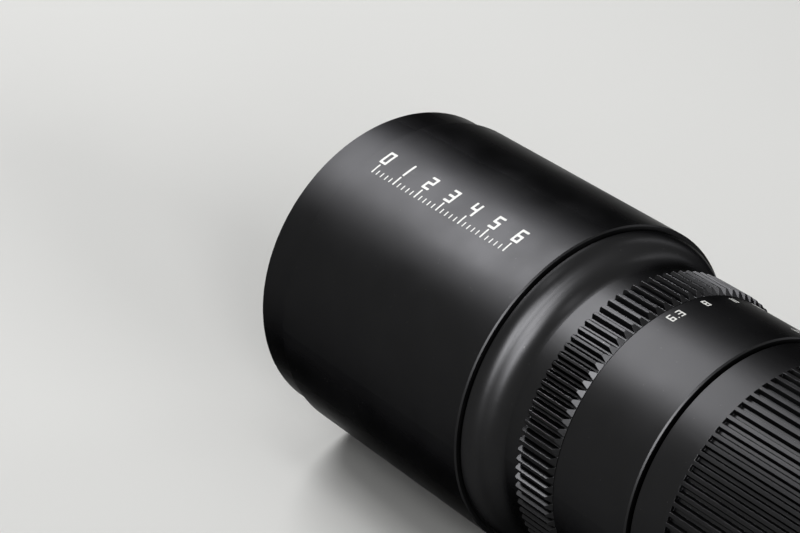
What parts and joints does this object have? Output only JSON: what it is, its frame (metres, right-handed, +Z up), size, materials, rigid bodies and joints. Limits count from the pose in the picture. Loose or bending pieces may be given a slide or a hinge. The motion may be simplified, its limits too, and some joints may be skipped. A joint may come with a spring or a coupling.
{
  "type": "telephoto lens",
  "caption": "Manual telephoto lens with sliding hood, ribbed aperture ring and iris, helicoid focus ring, tripod collar and threaded camera mount.",
  "frame": {"origin": "centre of the camera flange face on the optical axis", "axes": "+Y along the optical axis towards the camera, so the front glass faces -Y; +Z up, foot at -Z; +X towards the lock knob"},
  "size_m": [0.1121, 0.355, 0.102],
  "materials": {
    "barrel_anodising": "black anodised aluminium, fine satin",
    "ring_anodising": "black anodised aluminium, turned and milled",
    "band_anodising": "black anodised aluminium, bead blasted",
    "hood_anodising": "black anodised aluminium, bead blasted satin",
    "inner_anodising": "dull black anodised aluminium",
    "collar_anodising": "black anodised aluminium, satin",
    "coated_glass": "polished optical glass with an antireflection coating",
    "blackened_steel": "blackened spring steel",
    "screw_steel": "steel screws and key",
    "helicoid_brass": "turned brass",
    "hood_felt": "black felt"
  },
  "bodies": {
    "barrel": {"main_barrel": "barrel_anodising", "focus_retainer": "inner_anodising", "guide_tube": "barrel_anodising", "focus_key": "screw_steel", "tail_cone": "barrel_anodising", "rear_cell": "barrel_anodising", "rear_retaining_ring": "inner_anodising", "third_element": "coated_glass", "rear_spacer": "inner_anodising", "fourth_element": "coated_glass", "mount_ring": "barrel_anodising"},
    "focus_ring": {"focus_ring": "ring_anodising", "helicoid_nut": "helicoid_brass"},
    "front_assembly": {"front_ring": "hood_anodising", "felt_band": "hood_felt", "objective_barrel": "hood_anodising", "lens_cell": "inner_anodising", "cell_retaining_ring": "inner_anodising", "front_element": "coated_glass", "element_spacer": "inner_anodising", "second_element": "coated_glass", "front_baffle": "inner_anodising", "shoulder_housing": "band_anodising", "iris_housing": "inner_anodising", "iris_retainer": "inner_anodising", "number_band": "band_anodising", "helicoid_carriage": "barrel_anodising"},
    "hood": {"hood_sleeve": "hood_anodising"},
    "aperture_ring": {"aperture_ring": "ring_anodising", "iris_drive_ring": "inner_anodising", "link_screw": "screw_steel"},
    "tripod_collar": {"tripod_collar": "collar_anodising", "tripod_foot": "collar_anodising", "foot_screw_front": "screw_steel", "foot_screw_rear": "screw_steel", "lock_pad": "helicoid_brass"},
    "lock_knob": {"lock_knob": "ring_anodising"},
    "iris_blade_01": {"iris_blade_01": "blackened_steel"},
    "iris_blade_02": {"iris_blade_02": "blackened_steel"},
    "iris_blade_03": {"iris_blade_03": "blackened_steel"},
    "iris_blade_04": {"iris_blade_04": "blackened_steel"},
    "iris_blade_05": {"iris_blade_05": "blackened_steel"},
    "iris_blade_06": {"iris_blade_06": "blackened_steel"},
    "iris_blade_07": {"iris_blade_07": "blackened_steel"},
    "iris_blade_08": {"iris_blade_08": "blackened_steel"},
    "iris_blade_09": {"iris_blade_09": "blackened_steel"},
    "iris_blade_10": {"iris_blade_10": "blackened_steel"}
  },
  "joints": [
    {"name": "focus_turn", "type": "hinge", "parent": "barrel", "child": "focus_ring", "pos_m": [0, -0.16, 0], "axis": [0, 1, 0], "range_deg": [0, 300]},
    {"name": "front_slide", "type": "slide", "parent": "barrel", "child": "front_assembly", "axis": [0, -1, 0], "range_m": [0, 0.026]},
    {"name": "hood_slide", "type": "slide", "parent": "front_assembly", "child": "hood", "axis": [0, -1, 0], "range_m": [0, 0.066]},
    {"name": "aperture_turn", "type": "hinge", "parent": "front_assembly", "child": "aperture_ring", "pos_m": [0, -0.23, 0], "axis": [0, -1, 0], "range_deg": [0, 72.5]},
    {"name": "collar_turn", "type": "hinge", "parent": "barrel", "child": "tripod_collar", "pos_m": [0, -0.098, 0], "axis": [0, 1, 0], "continuous": true},
    {"name": "lock_turn", "type": "hinge", "parent": "tripod_collar", "child": "lock_knob", "pos_m": [0.0485, -0.098, 0], "axis": [1, 0, 0], "range_deg": [0, 540]},
    {"name": "blade_01_swing", "type": "hinge", "parent": "front_assembly", "child": "iris_blade_01", "pos_m": [0.0365, -0.2352, 0], "axis": [0, -1, 0], "range_deg": [0, 36.25]},
    {"name": "blade_02_swing", "type": "hinge", "parent": "front_assembly", "child": "iris_blade_02", "pos_m": [0.02953, -0.2352, 0.02145], "axis": [0, -1, 0], "range_deg": [0, 36.25]},
    {"name": "blade_03_swing", "type": "hinge", "parent": "front_assembly", "child": "iris_blade_03", "pos_m": [0.01128, -0.2352, 0.03471], "axis": [0, -1, 0], "range_deg": [0, 36.25]},
    {"name": "blade_04_swing", "type": "hinge", "parent": "front_assembly", "child": "iris_blade_04", "pos_m": [-0.01128, -0.2352, 0.03471], "axis": [0, -1, 0], "range_deg": [0, 36.25]},
    {"name": "blade_05_swing", "type": "hinge", "parent": "front_assembly", "child": "iris_blade_05", "pos_m": [-0.02953, -0.2352, 0.02145], "axis": [0, -1, 0], "range_deg": [0, 36.25]},
    {"name": "blade_06_swing", "type": "hinge", "parent": "front_assembly", "child": "iris_blade_06", "pos_m": [-0.0365, -0.2352, 0], "axis": [0, -1, 0], "range_deg": [0, 36.25]},
    {"name": "blade_07_swing", "type": "hinge", "parent": "front_assembly", "child": "iris_blade_07", "pos_m": [-0.02953, -0.2352, -0.02145], "axis": [0, -1, 0], "range_deg": [0, 36.25]},
    {"name": "blade_08_swing", "type": "hinge", "parent": "front_assembly", "child": "iris_blade_08", "pos_m": [-0.01128, -0.2352, -0.03471], "axis": [0, -1, 0], "range_deg": [0, 36.25]},
    {"name": "blade_09_swing", "type": "hinge", "parent": "front_assembly", "child": "iris_blade_09", "pos_m": [0.01128, -0.2352, -0.03471], "axis": [0, -1, 0], "range_deg": [0, 36.25]},
    {"name": "blade_10_swing", "type": "hinge", "parent": "front_assembly", "child": "iris_blade_10", "pos_m": [0.02953, -0.2352, -0.02145], "axis": [0, -1, 0], "range_deg": [0, 36.25]}
  ],
  "couplings": [
    {"joint": "front_slide", "follows": "focus_turn", "m_per_rad": 0.0049656},
    {"joint": "blade_01_swing", "follows": "aperture_turn", "ratio": 0.5},
    {"joint": "blade_02_swing", "follows": "aperture_turn", "ratio": 0.5},
    {"joint": "blade_03_swing", "follows": "aperture_turn", "ratio": 0.5},
    {"joint": "blade_04_swing", "follows": "aperture_turn", "ratio": 0.5},
    {"joint": "blade_05_swing", "follows": "aperture_turn", "ratio": 0.5},
    {"joint": "blade_06_swing", "follows": "aperture_turn", "ratio": 0.5},
    {"joint": "blade_07_swing", "follows": "aperture_turn", "ratio": 0.5},
    {"joint": "blade_08_swing", "follows": "aperture_turn", "ratio": 0.5},
    {"joint": "blade_09_swing", "follows": "aperture_turn", "ratio": 0.5},
    {"joint": "blade_10_swing", "follows": "aperture_turn", "ratio": 0.5}
  ]
}
